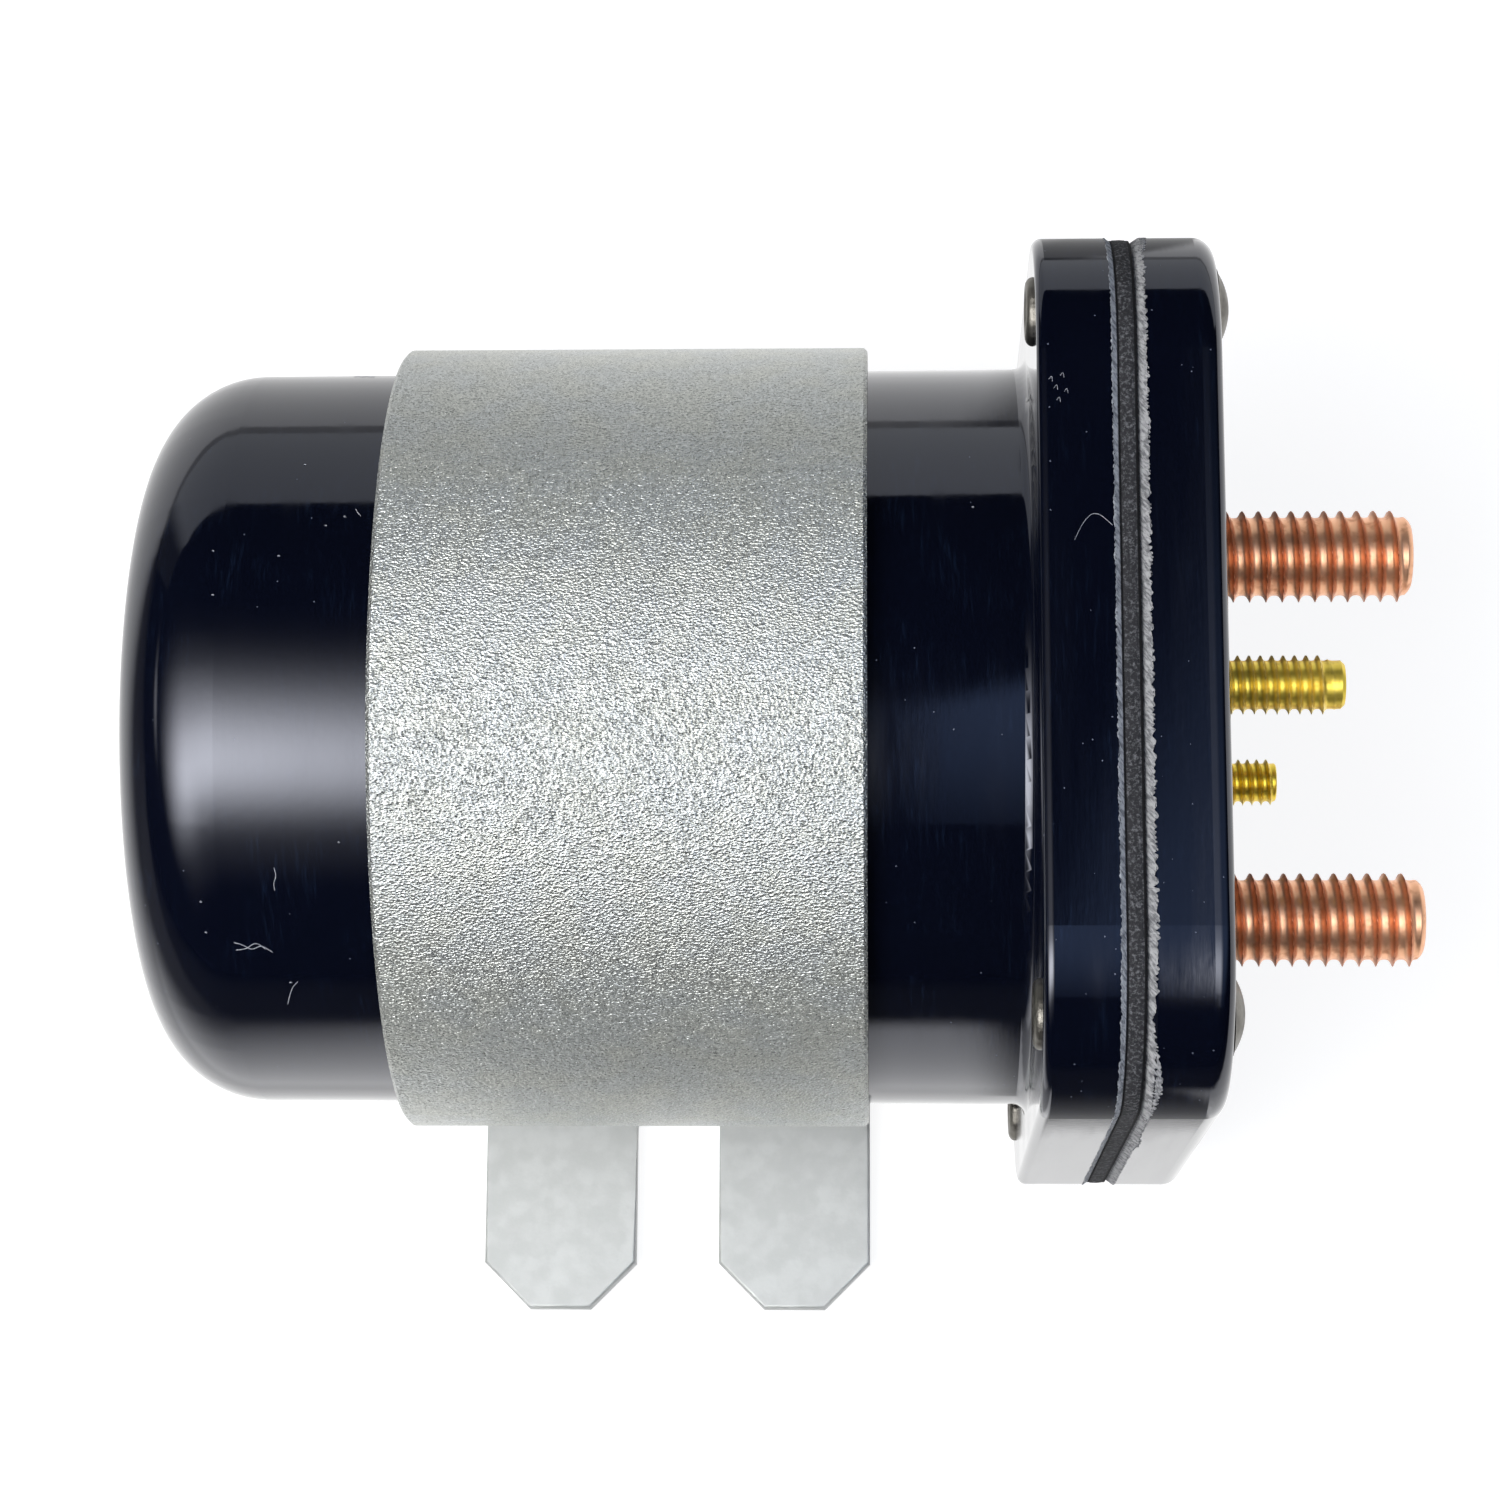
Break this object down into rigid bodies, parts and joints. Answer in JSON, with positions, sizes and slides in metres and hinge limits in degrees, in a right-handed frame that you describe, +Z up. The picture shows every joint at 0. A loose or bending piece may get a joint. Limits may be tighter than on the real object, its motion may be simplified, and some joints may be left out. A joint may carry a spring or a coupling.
{
  "type": "solenoid relay",
  "caption": "Round can with a square flange in a clamp band on a flat forked plate, with load studs and coil studs on the flange's cover. A plunger inside moves a contact bar.",
  "frame": {"origin": "underside of the mounting plate, below the middle of the clamp band and on the solenoid's middle plane", "axes": "+X along the solenoid's axis towards the studs, +Z up from the mounting plate, +Y towards the rear ears"},
  "size_m": [0.1072, 0.0926, 0.0718],
  "materials": {
    "moulded_black": "polished moulded phenolic, very dark navy black, light ground strips at the gasket",
    "gasket_rubber": "matt speckled charcoal",
    "rivet_steel": "dull plated steel",
    "blasted_steel": "coarsely blasted silver grey with bright grains",
    "zinc_plate": "mottled galvanised",
    "weld_steel": "rippled weld",
    "copper": "bright rolled copper",
    "brass": "bright rolled brass",
    "magnet_steel": "plain turned or drawn steel",
    "bumper_rubber": "matt black",
    "bobbin_nylon": "natural moulded nylon",
    "enamelled_wire": "enamelled copper wire",
    "winding_tape": "yellowish tape",
    "fibre_board": "brown insulating fibre",
    "spring_steel": "bright spring wire",
    "silver": "silver contact"
  },
  "bodies": {
    "housing": {"housing_can": "moulded_black", "flange_gasket": "gasket_rubber", "terminal_cover": "moulded_black", "flange_rivets": "rivet_steel", "clamp_band": "blasted_steel", "mounting_plate": "zinc_plate", "weld_beads": "weld_steel", "rear_load_stud": "copper", "front_load_stud": "copper", "upper_coil_stud": "brass", "lower_coil_stud": "brass", "magnet_cup": "magnet_steel", "bumper_disc": "bumper_rubber", "rear_pole_ring": "magnet_steel", "coil_bobbin": "bobbin_nylon", "coil_winding": "enamelled_wire", "winding_wrap": "winding_tape", "guide_tube": "brass", "pole_plate": "magnet_steel", "fixed_core": "magnet_steel", "insulating_disc": "fibre_board", "chamber_liner": "fibre_board", "coil_leads": "enamelled_wire"},
    "plunger_set": {"plunger": "magnet_steel", "plunger_rod": "brass", "return_spring": "spring_steel", "spring_collar": "spring_steel", "contact_spring": "spring_steel", "rod_clip": "spring_steel"},
    "contact_set": {"contact_bush": "bobbin_nylon", "contact_bar": "copper", "contact_tips": "silver"}
  },
  "joints": [
    {"name": "plunger_slide", "type": "slide", "parent": "housing", "child": "plunger_set", "axis": [1, 0, 0], "range_m": [0, 0.0031], "stiffness_N_per_m": 800, "springref_m": -0.004, "deforming": ["return_spring", "contact_spring"]},
    {"name": "contact_slide", "type": "slide", "parent": "housing", "child": "contact_set", "axis": [1, 0, 0], "range_m": [0, 0.00235]}
  ],
  "couplings": [
    {"joint": "contact_slide", "follows": "plunger_slide", "ratio": 0.758}
  ]
}
